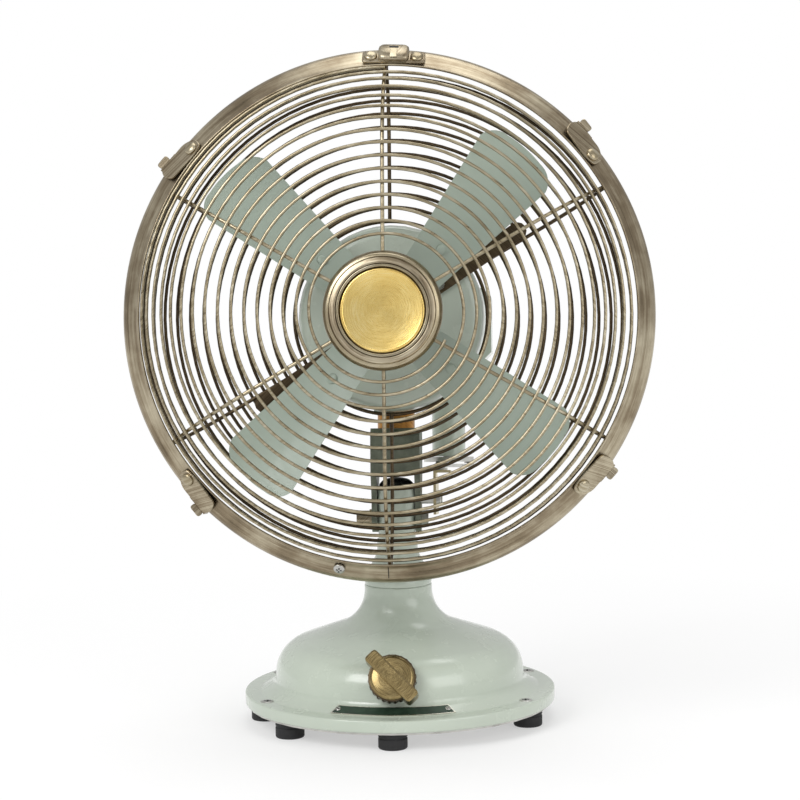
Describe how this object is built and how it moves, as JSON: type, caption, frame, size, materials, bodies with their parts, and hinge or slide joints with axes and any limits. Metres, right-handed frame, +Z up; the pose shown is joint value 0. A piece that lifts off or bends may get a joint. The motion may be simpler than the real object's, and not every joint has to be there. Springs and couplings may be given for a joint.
{
  "type": "oscillating desk fan",
  "caption": "Metal desk fan with a domed round base, tilting and oscillating head, wound wire guard, wide blades and a rotary speed knob.",
  "frame": {"origin": "on the floor, on the axis of the round base", "axes": "+Z up; the fan blows towards -Y; +X is on the right seen from the front"},
  "size_m": [0.36, 0.2496, 0.473],
  "materials": {
    "sage_paint": "gloss",
    "blade_paint": "satin",
    "antique_brass": "brushed antique",
    "gold_badge": "brushed",
    "knob_brass": "antique",
    "collar_brass": "satin",
    "yellow_zinc": "yellow zinc plate",
    "zinc": "zinc plate",
    "core_steel": "dull",
    "coil_copper": "enamelled copper",
    "cast_yoke": "satin",
    "green_plate": "satin",
    "black_plastic": "gloss",
    "black_rubber": "matte"
  },
  "bodies": {
    "base": {"base_shell": "sage_paint", "bottom_plate": "zinc", "feet": "black_rubber", "flange_screws": "zinc", "nameplate": "green_plate", "nameplate_screws": "zinc", "speed_switch": "black_plastic", "capacitor": "black_plastic", "terminal_block": "black_plastic", "cable_gland": "black_rubber", "neck_post": "sage_paint", "neck_cap": "black_plastic", "tilt_bolt": "zinc"},
    "speed_knob": {"speed_knob": "knob_brass"},
    "tilt_nut": {"tilt_nut": "antique_brass"},
    "yoke": {"tilt_yoke": "cast_yoke", "swivel_collar": "collar_brass", "anchor_plate": "yellow_zinc", "anchor_screws": "zinc", "link_pin": "zinc"},
    "link": {"drive_link": "zinc"},
    "head": {"motor_front_shell": "sage_paint", "motor_rear_shell": "sage_paint", "swivel_stud": "zinc", "stator_core": "core_steel", "stator_coils": "coil_copper", "motor_bearings": "collar_brass", "gear_case": "sage_paint", "gear_cover": "sage_paint", "front_spiral": "antique_brass", "rear_spiral": "antique_brass", "front_ribs": "antique_brass", "rear_ribs": "antique_brass", "front_band": "antique_brass", "rear_band": "antique_brass", "mounting_bar": "antique_brass", "bar_screws": "zinc", "badge_plate": "antique_brass", "badge_ring": "antique_brass", "badge_disc": "gold_badge", "top_hook": "antique_brass", "hook_rivets": "antique_brass", "band_screw": "zinc", "latch_rivets": "antique_brass", "latch_catches": "core_steel"},
    "crank": {"crank_disc": "zinc"},
    "oscillation_knob": {"oscillation_knob": "black_plastic"},
    "rotor": {"rotor_core": "core_steel", "rotor_shaft": "core_steel", "blade_1": "blade_paint", "blade_2": "blade_paint", "blade_3": "blade_paint", "blade_4": "blade_paint", "blade_spider": "blade_paint", "blade_rivets": "blade_paint", "spinner_nut": "zinc"},
    "latch_1": {"latch_1": "antique_brass"},
    "latch_2": {"latch_2": "antique_brass"},
    "latch_3": {"latch_3": "antique_brass"},
    "latch_4": {"latch_4": "antique_brass"}
  },
  "joints": [
    {"name": "speed_select", "type": "hinge", "parent": "base", "child": "speed_knob", "pos_m": [0, -0.08475, 0.04414], "axis": [0, -0.9063, 0.4226], "range_deg": [-135, 0]},
    {"name": "nut_turn", "type": "hinge", "parent": "base", "child": "tilt_nut", "pos_m": [0, 0, 0.142], "axis": [1, 0, 0], "range_deg": [-90, 90]},
    {"name": "tilt", "type": "hinge", "parent": "base", "child": "yoke", "pos_m": [0, 0, 0.142], "axis": [1, 0, 0], "range_deg": [-20, 18]},
    {"name": "link_swing", "type": "hinge", "parent": "yoke", "child": "link", "pos_m": [0.0315, 0.0073, 0.17731], "axis": [0, 0.1478, 0.989], "range_deg": [-26.75, 26.75]},
    {"name": "swivel", "type": "hinge", "parent": "yoke", "child": "head", "pos_m": [0, 0, 0.142], "axis": [0, 0.1478, 0.989], "range_deg": [-25, 25]},
    {"name": "crank_turn", "type": "hinge", "parent": "head", "child": "crank", "pos_m": [0.034, 0.07514, 0.17121], "axis": [0, 0.1478, 0.989], "range_deg": [-90, 90]},
    {"name": "oscillation_pull", "type": "slide", "parent": "head", "child": "oscillation_knob", "axis": [0, 0.1478, 0.989], "range_m": [0, 0.006]},
    {"name": "blade_spin", "type": "hinge", "parent": "head", "child": "rotor", "pos_m": [0, 0.02032, 0.27799], "axis": [0, -0.989, 0.1478], "continuous": true},
    {"name": "latch_1_turn", "type": "hinge", "parent": "head", "child": "latch_1", "pos_m": [0.13778, -0.05392, 0.39521], "axis": [0.5273, -0.6811, 0.508], "range_deg": [-50, 0]},
    {"name": "latch_2_turn", "type": "hinge", "parent": "head", "child": "latch_2", "pos_m": [-0.13111, -0.0527, 0.40333], "axis": [-0.5018, -0.6764, 0.5391], "range_deg": [-50, 0]},
    {"name": "latch_3_turn", "type": "hinge", "parent": "head", "child": "latch_3", "pos_m": [-0.13479, -0.08551, 0.18383], "axis": [-0.5159, -0.802, -0.301], "range_deg": [-50, 0]},
    {"name": "latch_4_turn", "type": "hinge", "parent": "head", "child": "latch_4", "pos_m": [0.12932, -0.08646, 0.17745], "axis": [0.495, -0.8057, -0.3255], "range_deg": [-50, 0]}
  ],
  "couplings": [
    {"joint": "crank_turn", "follows": "swivel", "ratio": 3.6},
    {"joint": "link_swing", "follows": "swivel", "ratio": 1.07}
  ]
}
